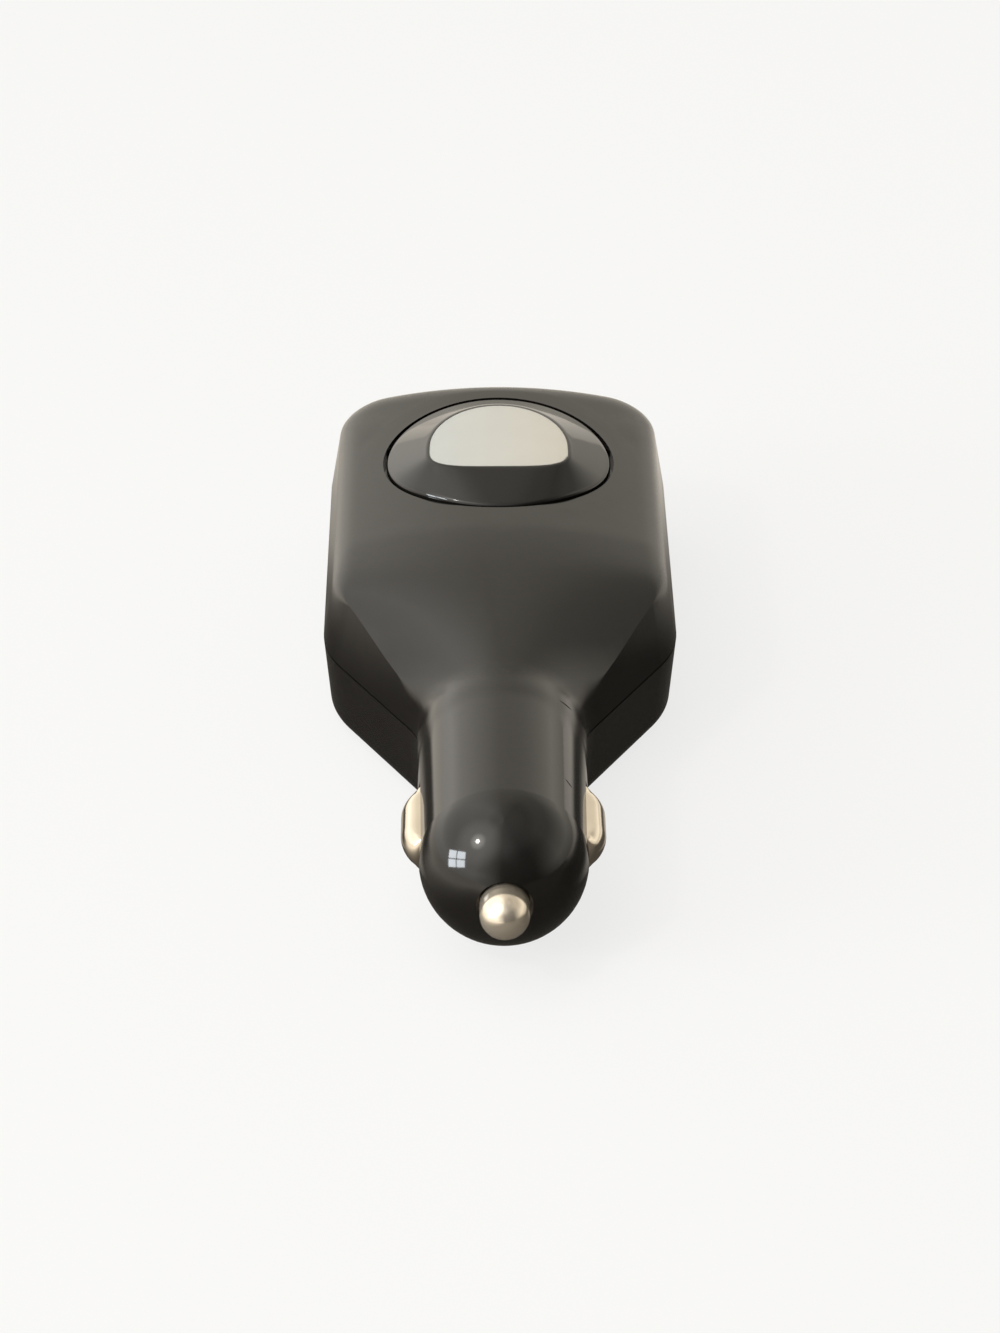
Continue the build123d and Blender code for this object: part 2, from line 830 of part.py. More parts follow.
# Band on the fuse tube that joins both leaf springs to the ground wire
with BuildPart() as ground_clip:
    add(ring(clip_y, clip_length, tube_outer_radius + clip_thickness, tube_outer_radius))
ground_clip.part.label = "ground_clip"
export_step(ground_clip.part, "parts/ground_clip.step")

# Wires from the plug to the board
with BuildPart() as positive_wire:
    add(
        wire_along(
            [(0, tab_end_y, axis_z)]
            + [(x, y, axis_z) for x, y in wire_turns]
            + [(wire_spread, wire_end_y, axis_z), (wire_spread, wire_end_y, board_top_z)]
        )
    )
positive_wire.part.label = "positive_wire"
export_step(positive_wire.part, "parts/positive_wire.step")

wire_low_z = axis_z - wire_drop
clip_mid_y = clip_y + clip_length / 2
with BuildPart() as ground_wire:
    add(
        wire_along(
            [(0, clip_mid_y, axis_z - tube_outer_radius - clip_thickness), (0, clip_mid_y, wire_low_z)]
            + [(-x, y, wire_low_z) for x, y in wire_turns]
            + [(-wire_spread, wire_end_y, wire_low_z), (-wire_spread, wire_end_y, board_z)]
        )
    )
ground_wire.part.label = "ground_wire"
export_step(ground_wire.part, "parts/ground_wire.step")

# Circuit board on the posts, notched around the rear bosses
with BuildPart() as circuit_board:
    with BuildSketch(Plane.XY.offset(board_z)):
        with Locations((0, board_front_y + board_length / 2)):
            RectangleRounded(board_width, board_length, board_corner)
        with Locations(*screw_places):
            Circle(boss_radius + board_notch_gap, mode=Mode.SUBTRACT)
    extrude(amount=board_thickness)
circuit_board.part.label = "circuit_board"
export_step(circuit_board.part, "parts/circuit_board.step")

board_top = Plane.XY.offset(board_top_z)
front_row_y = board_front_y + inductor_radius
middle_row_y = front_row_y + inductor_radius
rear_row_y = usb_back_y - 2 * inductor_radius

# Inductor: drum core with its winding between the flanges
inductor_place = (-board_width / 4, middle_row_y)
with BuildPart() as inductor_core:
    for z in (board_top_z, board_top_z + inductor_height - inductor_flange):
        with BuildSketch(Plane.XY.offset(z)):
            with Locations(inductor_place):
                Circle(inductor_radius)
        extrude(amount=inductor_flange)
    with BuildSketch(board_top):
        with Locations(inductor_place):
            Circle(inductor_hub_radius)
    extrude(amount=inductor_height)
inductor_core.part.label = "inductor_core"
export_step(inductor_core.part, "parts/inductor_core.step")

with BuildPart() as inductor_winding:
    with BuildSketch(Plane.XY.offset(board_top_z + inductor_flange)):
        with Locations(inductor_place):
            Circle(inductor_winding_radius)
            Circle(inductor_hub_radius, mode=Mode.SUBTRACT)
    extrude(amount=inductor_height - 2 * inductor_flange)
inductor_winding.part.label = "inductor_winding"
export_step(inductor_winding.part, "parts/inductor_winding.step")

# Capacitors, chip, diode and small parts on the board
with BuildPart() as input_capacitor:
    with BuildSketch(board_top):
        with Locations((board_width / 4 + capacitor_radius / 2, front_row_y)):
            Circle(capacitor_radius)
    extrude(amount=input_capacitor_height)
input_capacitor.part.label = "input_capacitor"
export_step(input_capacitor.part, "parts/input_capacitor.step")

with BuildPart() as output_capacitor:
    with BuildSketch(board_top):
        with Locations((board_width / 4 + capacitor_radius / 2, front_row_y + 2.5 * capacitor_radius)):
            Circle(capacitor_radius)
    extrude(amount=output_capacitor_height)
output_capacitor.part.label = "output_capacitor"
export_step(output_capacitor.part, "parts/output_capacitor.step")

with BuildPart() as controller_chip:
    with BuildSketch(board_top):
        with Locations((chip_length / 4, middle_row_y + chip_width / 2)):
            Rectangle(chip_length, chip_width)
    extrude(amount=chip_height)
controller_chip.part.label = "controller_chip"
export_step(controller_chip.part, "parts/controller_chip.step")

with BuildPart() as rectifier_diode:
    with BuildSketch(board_top):
        with Locations((0, front_row_y)):
            Rectangle(diode_length, diode_width)
    extrude(amount=diode_height)
rectifier_diode.part.label = "rectifier_diode"
export_step(rectifier_diode.part, "parts/rectifier_diode.step")

with BuildPart() as small_parts:
    with BuildSketch(board_top):
        with Locations((0, rear_row_y)):
            with GridLocations(small_part_pitch, 0, small_part_count, 1):
                Rectangle(small_part_width, small_part_length)
    extrude(amount=small_part_height)
small_parts.part.label = "small_parts"
export_step(small_parts.part, "parts/small_parts.step")

# Lamp under the window, on two leads
with BuildPart() as indicator_lamp:
    with BuildSketch(Plane((0, bezel_y, 0), x_dir=(1, 0, 0), z_dir=(0, -1, 0))):
        with BuildLine():
            Polyline(
                (0, lamp_top_z),
                (0, lamp_base_z),
                (lamp_flange_radius, lamp_base_z),
                (lamp_flange_radius, lamp_base_z + lamp_flange_height),
                (lamp_radius, lamp_base_z + lamp_flange_height),
                (lamp_radius, lamp_top_z - lamp_radius),
            )
            RadiusArc((lamp_radius, lamp_top_z - lamp_radius), (0, lamp_top_z), -lamp_radius)
        make_face()
    revolve(axis=Axis((0, bezel_y, 0), (0, 0, 1)))
indicator_lamp.part.label = "indicator_lamp"
export_step(indicator_lamp.part, "parts/indicator_lamp.step")

with BuildPart() as lamp_leads:
    with BuildSketch(board_top):
        with Locations((0, bezel_y)):
            with GridLocations(lamp_lead_pitch, 0, 2, 1):
                Circle(lamp_lead_radius)
    extrude(amount=lamp_base_z - board_top_z)
lamp_leads.part.label = "lamp_leads"
export_step(lamp_leads.part, "parts/lamp_leads.step")


def usb_shell(x):
    """Folded metal shell of one socket, open to the rear."""
    with BuildPart() as shell:
        with BuildSketch(across(usb_mouth_y)):
            with Locations((x, 0)):
                RectangleRounded(usb_width, usb_height, usb_mouth_round)
                Rectangle(usb_width - 2 * usb_sheet, usb_height - 2 * usb_sheet, mode=Mode.SUBTRACT)
        extrude(amount=usb_depth)
    return shell.part


def usb_tongue(x):
    """Insulator of one socket: a block at the back and the tongue that carries the contacts."""
    with BuildPart() as tongue:
        with BuildSketch(across(usb_back_y + usb_block_depth)):
            with Locations((x, 0)):
                Rectangle(usb_width - 2 * usb_sheet, usb_height - 2 * usb_sheet)
        extrude(amount=usb_block_depth)
        with BuildSketch(across(usb_back_y + usb_block_depth + tongue_length)):
            with Locations((x, tongue_offset)):
                Rectangle(tongue_width, tongue_thickness)
        extrude(amount=tongue_length)
    return tongue.part


def usb_contacts(x):
    """Four contact strips on the under side of one tongue."""
    with BuildPart() as strips:
        with BuildSketch(across(usb_back_y + usb_block_depth + tongue_length - usb_contact_width)):
            with Locations((x, tongue_offset - tongue_thickness / 2 - usb_contact_thickness / 2)):
                with GridLocations(usb_contact_pitch, 0, usb_contact_count, 1):
                    Rectangle(usb_contact_width, usb_contact_thickness)
        extrude(amount=tongue_length - usb_contact_width)
    return strips.part


# Usb sockets, left and right
for side, x in (("left", -usb_pitch / 2), ("right", usb_pitch / 2)):
    with BuildPart() as shell:
        add(usb_shell(x))
    shell.part.label = "usb_shell_" + side
    export_step(shell.part, "parts/usb_shell_" + side + ".step")
    with BuildPart() as tongue:
        add(usb_tongue(x))
    tongue.part.label = "usb_tongue_" + side
    export_step(tongue.part, "parts/usb_tongue_" + side + ".step")
    with BuildPart() as contacts:
        add(usb_contacts(x))
    contacts.part.label = "usb_contacts_" + side
    export_step(contacts.part, "parts/usb_contacts_" + side + ".step")
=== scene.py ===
"""Looks of the car usb charger plug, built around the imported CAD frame."""

import json
import math

import bmesh
import bpy
from mathutils import Matrix, Vector


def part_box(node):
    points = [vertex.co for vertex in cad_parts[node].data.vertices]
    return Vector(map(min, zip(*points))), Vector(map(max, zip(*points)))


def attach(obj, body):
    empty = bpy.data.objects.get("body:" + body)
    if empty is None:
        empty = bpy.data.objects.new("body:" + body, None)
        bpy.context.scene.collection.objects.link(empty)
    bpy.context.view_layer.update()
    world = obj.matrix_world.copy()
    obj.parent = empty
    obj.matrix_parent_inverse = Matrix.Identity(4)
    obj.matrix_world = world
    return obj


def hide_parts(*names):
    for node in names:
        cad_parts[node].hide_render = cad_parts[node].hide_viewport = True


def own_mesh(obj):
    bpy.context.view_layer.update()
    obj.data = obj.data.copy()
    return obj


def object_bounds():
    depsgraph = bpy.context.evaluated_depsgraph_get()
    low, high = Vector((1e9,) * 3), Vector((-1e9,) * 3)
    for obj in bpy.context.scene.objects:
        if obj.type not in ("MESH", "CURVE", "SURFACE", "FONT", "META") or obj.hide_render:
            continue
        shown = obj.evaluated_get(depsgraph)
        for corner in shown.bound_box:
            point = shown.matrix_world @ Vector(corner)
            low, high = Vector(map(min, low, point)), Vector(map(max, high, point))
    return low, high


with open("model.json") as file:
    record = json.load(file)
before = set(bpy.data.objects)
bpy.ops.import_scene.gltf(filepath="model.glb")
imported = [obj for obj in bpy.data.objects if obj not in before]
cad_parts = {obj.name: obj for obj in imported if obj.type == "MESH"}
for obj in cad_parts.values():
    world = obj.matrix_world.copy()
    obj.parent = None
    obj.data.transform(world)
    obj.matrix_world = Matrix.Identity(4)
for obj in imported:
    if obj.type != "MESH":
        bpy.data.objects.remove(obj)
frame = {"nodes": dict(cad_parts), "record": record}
cad_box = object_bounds()
nodes = frame["nodes"]
scene = bpy.context.scene
scene.view_settings.view_transform = "Standard"

# Sizes repeated from the part's source, in metres
MM = 0.001
PIN_REACH = 14.55 * MM
AXIS_HEIGHT = 11.0 * MM
BARREL_RADIUS = 10.7 * MM
DOME = Vector((0.0, cad_box[0].y + PIN_REACH, AXIS_HEIGHT))

# Blends of the upper moulding: the slope into the barrel, and the crown's edges clear of the bezel's recess
NECK_Y = DOME.y + 26.0 * MM
NECK_SPAN = (4.5 * MM, 9.0 * MM)
CROWN_SPAN = (DOME.y + 46.0 * MM, DOME.y + 52.0 * MM)
RECESS_Y = (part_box("bezel")[0].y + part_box("bezel")[1].y) / 2
RECESS_SPAN = (16.4 * MM, 19.5 * MM)
BLEND_LEVELS = (AXIS_HEIGHT + 2.0 * MM, AXIS_HEIGHT + 5.0 * MM)
BLEND_RADIUS = 3.5 * MM
BEVEL_SAMPLES = 6

# Short scratches that the photograph shows on the barrel's right, from end to end
MARK_HALF_WIDTH = 0.24 * MM
MARK_DEPTH = 1.2 * MM
MARK_SOFT = (0.4, 1.0)
MARK_ROUGHNESS = 0.7
BARREL_SCRATCHES = (
    (Vector((6.7, -20.3, 19.3)) * MM, Vector((8.9, -19.7, 16.9)) * MM),
    (Vector((7.5, -36.9, 18.6)) * MM, Vector((8.7, -37.7, 17.2)) * MM),
)


# Node helpers
class Tree:
    """Small helper that adds and joins shader nodes."""

    def __init__(self, owner):
        owner.use_nodes = True
        self.nodes = owner.node_tree.nodes
        self.links = owner.node_tree.links
        self.nodes.clear()

    def add(self, kind, settings=None, **inputs):
        node = self.nodes.new(kind)
        for key, value in (settings or {}).items():
            setattr(node, key, value)
        for key, value in inputs.items():
            self.put(node, key, value)
        return node

    def put(self, node, key, value):
        socket = node.inputs[key]
        if isinstance(value, bpy.types.NodeSocket):
            self.links.new(value, socket)
        else:
            socket.default_value = value

    def ramp(self, source, *stops):
        node = self.add("ShaderNodeValToRGB", Fac=source)
        points = node.color_ramp.elements
        while len(points) < len(stops):
            points.new(0.5)
        for point, (place, colour) in zip(points, stops):
            point.position = place
            point.color = (*colour, 1.0)
        return node.outputs["Color"]

    def scale(self, source, low, high, from_low=0.0, from_high=1.0, course="LINEAR"):
        node = self.add("ShaderNodeMapRange", {"interpolation_type": course})
        self.put(node, "Value", source)
        for key, value in (("From Min", from_low), ("From Max", from_high), ("To Min", low), ("To Max", high)):
            node.inputs[key].default_value = value
        return node.outputs["Result"]

    def fade(self, source, low, high, span):
        """Smooth course from low to high while the source crosses the span."""
        return self.scale(source, low, high, *span, "SMOOTHSTEP")

    def noise(self, vector, scale, detail=4.0, roughness=0.55):
        node = self.add("ShaderNodeTexNoise", Vector=vector, Scale=scale, Detail=detail, Roughness=roughness)
        return node.outputs["Fac"]

    def math(self, operation, first, *others):
        """One operation, chained over all the values given."""
        for other in others or (0.0,):
            node = self.add("ShaderNodeMath", {"operation": operation})
            self.put(node, 0, first)
            self.put(node, 1, other)
            first = node.outputs["Value"]
        return first

    def measure(self, operation, first, second=(0.0, 0.0, 0.0)):
        """Number from one or two vectors, such as a length or a dot product."""
        node = self.add("ShaderNodeVectorMath", {"operation": operation})
        self.put(node, 0, first)
        self.put(node, 1, second)
        return node.outputs["Value"]

    def split(self, vector):
        outputs = self.add("ShaderNodeSeparateXYZ", Vector=vector).outputs
        return outputs["X"], outputs["Y"], outputs["Z"]

    def mix(self, factor, first, second, blend="MIX"):
        node = self.add("ShaderNodeMix", {"data_type": "RGBA", "blend_type": blend})
        self.put(node, 0, factor)
        for index, value in ((6, first), (7, second)):
            self.put(node, index, value if isinstance(value, bpy.types.NodeSocket) else (*value, 1.0))
        return node.outputs[2]


def material(name):
    made = bpy.data.materials.new(name)
    tree = Tree(made)
    out = tree.add("ShaderNodeOutputMaterial")
    shader = tree.add("ShaderNodeBsdfPrincipled")
    tree.links.new(shader.outputs["BSDF"], out.inputs["Surface"])
    place = tree.add("ShaderNodeTexCoord").outputs["Object"]
    return made, tree, shader, place


def bump(tree, shader, height, strength, distance, normal=None):
    node = tree.add("ShaderNodeBump", Height=height, Strength=strength, Distance=distance)
    if normal is not None:
        tree.links.new(normal, node.inputs["Normal"])
    tree.links.new(node.outputs["Normal"], shader.inputs["Normal"])


def tinted(colour, factor):
    return tuple(min(c * factor, 1.0) for c in colour)


def spread_of(value, factors):
    return [min(value * factor, 1.0) for factor in factors]


def soft_blends(tree, place):
    """Normals that flow over the moulding's blends: slope into barrel, crown into slope and side walls."""
    across, along, up = tree.split(place)
    off = tree.math("ABSOLUTE", tree.math("SUBTRACT", along, NECK_Y))
    neck = tree.fade(off, 1.0, 0.0, NECK_SPAN)
    crown = tree.fade(along, 0.0, 1.0, CROWN_SPAN)
    flat = tree.add("ShaderNodeCombineXYZ", X=across, Y=along).outputs["Vector"]
    from_recess = tree.measure("DISTANCE", flat, (0.0, RECESS_Y, 0.0))
    crown = tree.math("MULTIPLY", crown, tree.fade(from_recess, 0.0, 1.0, RECESS_SPAN))
    high = tree.fade(up, 0.0, 1.0, BLEND_LEVELS)
    share = tree.math("MULTIPLY", tree.math("MAXIMUM", neck, crown), high)
    radius = tree.scale(share, 0.0, BLEND_RADIUS)
    return tree.add("ShaderNodeBevel", {"samples": BEVEL_SAMPLES}, Radius=radius).outputs["Normal"]


def mark(tree, place, start, end):
    """1 inside a short scratch on the barrel, falling to 0 at its edge."""
    middle = (start + end) / 2
    out = Vector((middle.x, 0.0, middle.z - AXIS_HEIGHT)).normalized()
    along = end - start
    along = (along - out * along.dot(out)).normalized()
    node = tree.add("ShaderNodeMapping", {"vector_type": "TEXTURE"}, Vector=place)
    node.inputs["Location"].default_value = middle
    node.inputs["Rotation"].default_value = Matrix((along, out.cross(along), out)).transposed().to_euler()
    node.inputs["Scale"].default_value = ((end - start).length / 2, MARK_HALF_WIDTH, MARK_DEPTH)
    return tree.fade(tree.measure("LENGTH", node.outputs["Vector"]), 1.0, 0.0, MARK_SOFT)


# Values of the materials: scales of the noises, spans of their values, spread of the roughness, heights
GLOSS_CLOUD = 60.0
DUST_GRAIN = 2600.0
PEEL_GRAIN = 420.0
TARNISH_CLOUD = 160.0
MILK_CLOUD = 90.0
MILK_GRAIN = 1500.0
CLEAR_CLOUD = 300.0
MATTE_CLOUD_SHARE = 12
GLOSS_SPREAD = (0.8, 1.3)
MATTE_SPREAD = (0.85, 1.15)
METAL_SPREAD = (0.75, 1.35)
CLEAR_SPREAD = (0.6, 1.4)
PEEL_HEIGHT = 0.05
LINE_HEIGHT = 0.03
NOISE_SPAN = (0.3, 0.7)
TARNISH_SPAN = (0.35, 0.75)
SPECK_SPAN = (0.74, 0.80)
HAIR_SPAN = (0.68, 0.74)
BLACK = (0.0, 0.0, 0.0)
WHITE = (1.0, 1.0, 1.0)
DUST = (0.55, 0.52, 0.47)
DUST_SHARE = 0.05
CLOUD_GAIN = 1.35
HAIR_STRETCH = (900.0, 40.0, 900.0)
HAIR_TURN = (0.0, 0.0, 0.5)
MOTTLE = (0.95, 0.95, 0.95)
STREAK = 0.93
FINE_BUMP = 0.0001
PLATE_BUMP = 0.00005
PLASTIC_IOR = 1.5
CLEAR_SHARE = 0.85
MILK_WEIGHT = 0.25
MILK_RADIUS = (0.002, 0.002, 0.0018)
MILK_ROUGHNESS = (0.3, 0.42)


def gloss_black(name, colour, rough, scratches, blends=False, marks=()):
    """Glossy black moulding: faint dust, fine hairline scratches, slight orange peel, marks of wear."""
    made, tree, shader, place = material(name)
    cloud = tree.noise(place, GLOSS_CLOUD, 3.0)
    dust = tree.noise(place, DUST_GRAIN, 2.0, 0.5)
    specks = tree.ramp(dust, (0.0, BLACK), (SPECK_SPAN[0], BLACK), (SPECK_SPAN[1], WHITE))
    base = tree.mix(tree.scale(cloud, 0.0, 1.0, *NOISE_SPAN), colour, tinted(colour, CLOUD_GAIN))
    base = tree.mix(tree.math("MULTIPLY", specks, DUST_SHARE), base, DUST)
    tree.put(shader, "Base Color", base)
    stretch = tree.add("ShaderNodeMapping", Vector=place, Scale=HAIR_STRETCH, Rotation=HAIR_TURN)
    lines = tree.noise(stretch.outputs["Vector"], 1.0, 2.0, 0.5)
    hair = tree.ramp(lines, (0.0, BLACK), (HAIR_SPAN[0], BLACK), (HAIR_SPAN[1], WHITE))
    worn = tree.scale(cloud, *spread_of(rough, GLOSS_SPREAD), *NOISE_SPAN)
    worn = tree.math("ADD", worn, tree.math("MULTIPLY", hair, scratches))
    for start, end in marks:
        worn = tree.math("ADD", worn, tree.math("MULTIPLY", mark(tree, place, start, end), MARK_ROUGHNESS))
    tree.put(shader, "Roughness", worn)
    peel = tree.noise(place, PEEL_GRAIN, 2.0, 0.4)
    bump(tree, shader, peel, PEEL_HEIGHT, FINE_BUMP, soft_blends(tree, place) if blends else None)
    shader.inputs["IOR"].default_value = PLASTIC_IOR
    return made


def matte(name, colour, rough, grain=900.0, spread=0.15, height=0.12):
    """Moulded or sintered matte stuff with a fine grain."""
    made, tree, shader, place = material(name)
    grains = tree.noise(place, grain, 4.0)
    cloud = tree.noise(place, grain / MATTE_CLOUD_SHARE, 3.0)
    shade = tree.scale(cloud, 0.0, 1.0, *NOISE_SPAN)
    tree.put(shader, "Base Color", tree.mix(shade, tinted(colour, 1 - spread), tinted(colour, 1 + spread)))
    tree.put(shader, "Roughness", tree.scale(grains, *spread_of(rough, MATTE_SPREAD), *NOISE_SPAN))
    bump(tree, shader, grains, height, FINE_BUMP)
    return made


def metal(name, colour, rough, grain=(1500.0, 60.0, 1500.0), stain=0.12, metallic=1.0):
    """Plated or drawn metal with fine tool lines and faint tarnish."""
    made, tree, shader, place = material(name)
    stretch = tree.add("ShaderNodeMapping", Vector=place, Scale=grain)
    lines = tree.noise(stretch.outputs["Vector"], 1.0, 3.0)
    cloud = tree.noise(place, TARNISH_CLOUD, 4.0)
    shade = tree.scale(cloud, 0.0, 1.0, *TARNISH_SPAN)
    tree.put(shader, "Base Color", tree.mix(shade, colour, tinted(colour, 1 - stain)))
    tree.put(shader, "Roughness", tree.scale(lines, *spread_of(rough, METAL_SPREAD), *NOISE_SPAN))
    shader.inputs["Metallic"].default_value = metallic
    bump(tree, shader, lines, LINE_HEIGHT, PLATE_BUMP)
    return made


def lens_stuff(name, painted_cool_light, painted_warm_light, half):
    """Milky diffuser with painted light across it, cooler on the left and warmer on the right; slightly mottled, soft
    sheen on top.
    """
    made, tree, shader, place = material(name)
    across = tree.split(place)[0]
    # Painted light: the colour runs from cool on the left to warm on the right, as the lamps fall
    tint = tree.mix(tree.scale(across, 0.0, 1.0, -half, half), painted_cool_light, painted_warm_light)
    cloud = tree.noise(place, MILK_CLOUD, 3.0)
    mottle = tree.mix(tree.scale(cloud, 0.0, 1.0, *NOISE_SPAN), WHITE, MOTTLE)
    tree.put(shader, "Base Color", tree.mix(1.0, tint, mottle, "MULTIPLY"))
    tree.put(shader, "Roughness", tree.scale(tree.noise(place, MILK_GRAIN), *MILK_ROUGHNESS, *NOISE_SPAN))
    shader.inputs["Subsurface Weight"].default_value = MILK_WEIGHT
    shader.inputs["Subsurface Radius"].default_value = MILK_RADIUS
    shader.inputs["Subsurface Scale"].default_value = 1.0
    return made


def clear(name, colour, rough):
    """Clear glass or epoxy with faint streaks."""
    made, tree, shader, place = material(name)
    cloud = tree.noise(place, CLEAR_CLOUD, 3.0)
    shade = tree.scale(cloud, 0.0, 1.0, *NOISE_SPAN)
    tree.put(shader, "Base Color", tree.mix(shade, colour, tinted(colour, STREAK)))
    tree.put(shader, "Roughness", tree.scale(cloud, *spread_of(rough, CLEAR_SPREAD), *NOISE_SPAN))
    shader.inputs["Transmission Weight"].default_value = CLEAR_SHARE
    shader.inputs["IOR"].default_value = PLASTIC_IOR
    return made


# One look for each material slot of the record: colour, roughness, then what the kind of stuff needs
looks = {
    "housing_black": gloss_black("housing_gloss", (0.0062, 0.0054, 0.0046), 0.07, 0.08, True, BARREL_SCRATCHES),
    "bezel_black": gloss_black("bezel_gloss", (0.0062, 0.0056, 0.0052), 0.055, 0.05),
    # The lens's two tints are painted light, cool on the left and warm on the right
    "lens_white": lens_stuff("lens_milk", (0.61, 0.63, 0.615), (0.575, 0.54, 0.47), 0.010),
    "contact_metal": metal("nickel_plate", (0.80, 0.71, 0.585), 0.12),
    "board_green": matte("board_mask", (0.03, 0.16, 0.07), 0.35, 500.0, 0.2),
    "socket_shell": metal("tinned_shell", (0.72, 0.72, 0.71), 0.25),
    "tongue_white": matte("tongue_plastic", (0.82, 0.82, 0.80), 0.5),
    "gilt_contacts": metal("gilt", (0.83, 0.62, 0.28), 0.2),
    "ferrite": matte("ferrite_grain", (0.06, 0.06, 0.065), 0.7, 1400.0, 0.3),
    "copper_winding": metal("enamel_copper", (0.70, 0.30, 0.14), 0.3, (60.0, 60.0, 4000.0)),
    "capacitor_can": metal("can_aluminium", (0.75, 0.76, 0.78), 0.3),
    "chip_black": matte("chip_epoxy", (0.025, 0.025, 0.027), 0.6, 1600.0),
    "chip_tan": matte("chip_ceramic", (0.50, 0.36, 0.22), 0.5, 1600.0),
    "lamp_clear": clear("lamp_epoxy", (0.92, 0.94, 0.96), 0.05),
    "tinned_wire": metal("tinned", (0.75, 0.74, 0.72), 0.28),
    "fuse_glass": clear("fuse_tube_glass", (0.95, 0.97, 0.97), 0.03),
    "tube_tan": matte("tube_paper", (0.52, 0.38, 0.22), 0.6, 700.0, 0.2),
    "spring_steel": metal("spring_wire", (0.62, 0.62, 0.63), 0.25),
    "brass_terminal": metal("stamped_brass", (0.80, 0.60, 0.26), 0.25),
    "wire_red": matte("wire_skin_red", (0.45, 0.02, 0.015), 0.45, 800.0),
    "wire_black": matte("wire_skin_black", (0.02, 0.02, 0.02), 0.45, 800.0),
    "screw_steel": metal("zinc_plate", (0.50, 0.50, 0.51), 0.32),
}
for part in frame["record"]["subparts"]:
    owner = nodes[part["node"]]
    for slot in owner.material_slots:
        slot.material = looks[part["material_slot"]]
pin_plate = metal("pin_plate", (0.84, 0.74, 0.61), 0.16, metallic=0.84)
nodes["centre_pin"].material_slots[0].material = pin_plate


# Own pieces
def piece(name, points, faces, look, body="housing"):
    """Smooth-shaded mesh object from points in the row frame."""
    mesh = bpy.data.meshes.new(name)
    mesh.from_pydata(points, [], faces)
    mesh.materials.append(looks[look])
    mesh.shade_smooth()
    holder = bpy.data.objects.new(name, mesh)
    scene.collection.objects.link(holder)
    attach(holder, body)
    return holder


def twin(node, name, look):
    """Own copy of a CAD node's mesh, for a spring."""
    mesh = nodes[node].data.copy()
    mesh.materials.clear()
    mesh.materials.append(looks[look])
    holder = bpy.data.objects.new(name, mesh)
    scene.collection.objects.link(holder)
    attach(holder, "housing")
    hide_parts(node)
    return holder


def soft_corner(before, corner, after, reach, count):
    """Points of a rounded corner between two directions."""
    first = corner + (before - corner).normalized() * reach
    last = corner + (after - corner).normalized() * reach
    shares = [step / (count - 1) for step in range(count)]
    return [first * (1 - t) ** 2 + corner * 2 * t * (1 - t) + last * t**2 for t in shares]


SAME_POINT = 1e-6


def tidy_mesh(mesh):
    """Joins double points, drops empty faces and points that no face uses, and turns faces outwards."""
    work = bmesh.new()
    work.from_mesh(mesh)
    bmesh.ops.remove_doubles(work, verts=work.verts, dist=SAME_POINT)
    bmesh.ops.dissolve_degenerate(work, edges=work.edges, dist=SAME_POINT)
    bmesh.ops.delete(work, geom=[v for v in work.verts if not v.link_faces], context="VERTS")
    bmesh.ops.recalc_face_normals(work, faces=work.faces)
    work.to_mesh(mesh)
    work.free()


# Springs: the coil behind the pin and a leaf behind each side contact
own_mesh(twin("pin_spring", "pin_spring_coil", "spring_steel"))
for side, inner in (("left", 1), ("right", 0)):
    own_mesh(twin(f"contact_spring_{side}", f"contact_leaf_{side}", "spring_steel"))


# Side contacts: folded wings with rounded outer edges and lugs behind the barrel wall
WING_HALF_HEIGHT = 2.2 * MM
WING_FALL = 0.55 * MM
WING_FALL_START = BARREL_RADIUS - 0.4 * MM
WING_EDGE = 1.4 * MM
WING_ROOT_EDGE = 0.3 * MM
WING_EDGE_START = BARREL_RADIUS - 0.6 * MM
WING_EDGE_RUN = 1.2 * MM
WING_SHEET = 0.6 * MM
WING_FRONT_RUN = 4.2 * MM
WING_FRONT_RISE = 2.4 * MM
WING_RAMP_RUN = 2.6 * MM
WING_RAMP_RISE = 1.7 * MM
WING_BEND_SOFT = 1.6 * MM
WING_TIP_SOFT = 0.9 * MM
WING_SHARP = math.radians(40)
WING_LEVELS = 15
FRONT_STEPS = 6
ROUND_STEPS = 14
BEND_POINTS = 9
TIP_POINTS = 7
REAR_STEPS = 4
CAP_STRIPS = 8
EMPTY_STRIP = 1e-7
LUG = 1.5 * MM
LUG_DEPTH = 0.8 * MM
BOX_SIDES = ((3, 2, 1, 0), (4, 5, 6, 7), (0, 1, 5, 4), (1, 2, 6, 5), (2, 3, 7, 6), (3, 0, 4, 7))


def wing_outline(root, out, front, rear):
    """Plan of a wing from its root at the front, round the outside, to its root at the rear."""
    run = out - WING_FRONT_RISE - root
    line = [Vector((root + run * step / FRONT_STEPS, front)) for step in range(FRONT_STEPS)]
    for step in range(ROUND_STEPS + 1):
        turn = math.pi / 2 * step / ROUND_STEPS
        x = out - WING_FRONT_RISE * (1 - math.sin(turn))
        line.append(Vector((x, front + WING_FRONT_RUN * (1 - math.cos(turn)))))
    bend = Vector((out, rear - WING_RAMP_RUN))
    tip = Vector((out - WING_RAMP_RISE, rear))
    line += soft_corner(line[-1], bend, tip, WING_BEND_SOFT, BEND_POINTS)
    line += soft_corner(bend, tip, Vector((root, rear)), WING_TIP_SOFT, TIP_POINTS)
    last = tip.x - WING_TIP_SOFT
    line += [Vector((last + (root - last) * step / REAR_STEPS, rear)) for step in range(1, REAR_STEPS + 1)]
    return line


def inward(line):
    """Unit vectors that point into the plan, one for each of its points."""
    ways = []
    for index in range(len(line)):
        before, after = line[max(index - 1, 0)], line[min(index + 1, len(line) - 1)]
        run = (after - before).normalized()
        ways.append(Vector((-run.y, run.x)))
    ways[0], ways[-1] = Vector((0.0, 1.0)), Vector((0.0, -1.0))
    return ways


def portion(value):
    return min(max(value, 0.0), 1.0)


